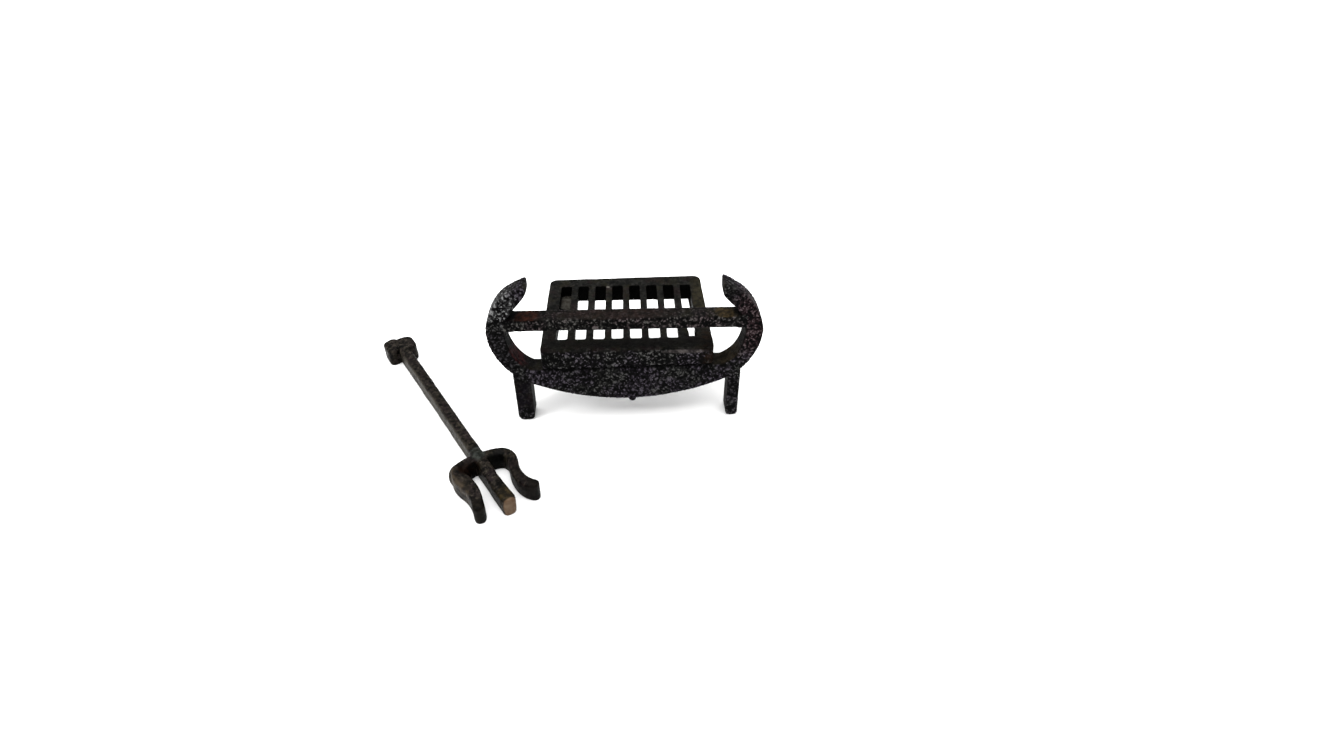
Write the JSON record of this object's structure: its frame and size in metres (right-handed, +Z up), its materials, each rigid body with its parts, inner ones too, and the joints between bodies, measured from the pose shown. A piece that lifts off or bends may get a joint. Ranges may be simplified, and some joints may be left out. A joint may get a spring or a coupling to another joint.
{
  "type": "miniature fire grate",
  "caption": "Miniature horseshoe-fronted fire grate on legs, with a slotted grid and a crossbar, and a loose pronged fork with a scrolled handle lying beside it.",
  "frame": {"origin": "middle of the whole set's bounding box in plan, on the surface that the grate and the fork stand on", "axes": "+X to the right along the front of the grate, +Y from its front towards its back, +Z up"},
  "size_m": [0.0932, 0.064, 0.0357],
  "materials": {
    "black_casting": "coarse granular black casting, satin, with bright worn grains",
    "bronzed_metal": "dark bronze-brown metal, worn smooth along its edges, bare at one cut tip"
  },
  "bodies": {
    "grate": {"front_casting": "black_casting", "crossbar": "black_casting", "grid": "black_casting", "front_leg_left": "black_casting", "front_leg_right": "black_casting", "rear_leg_left": "black_casting", "rear_leg_right": "black_casting"},
    "fork": {"fork_shaft": "bronzed_metal", "fork_yoke": "bronzed_metal", "fork_handle": "bronzed_metal"}
  },
  "joints": [
    {"name": "fork_lift", "type": "slide", "parent": "grate", "child": "fork", "axis": [0, 0, 1], "range_m": [0, 0.05]}
  ]
}
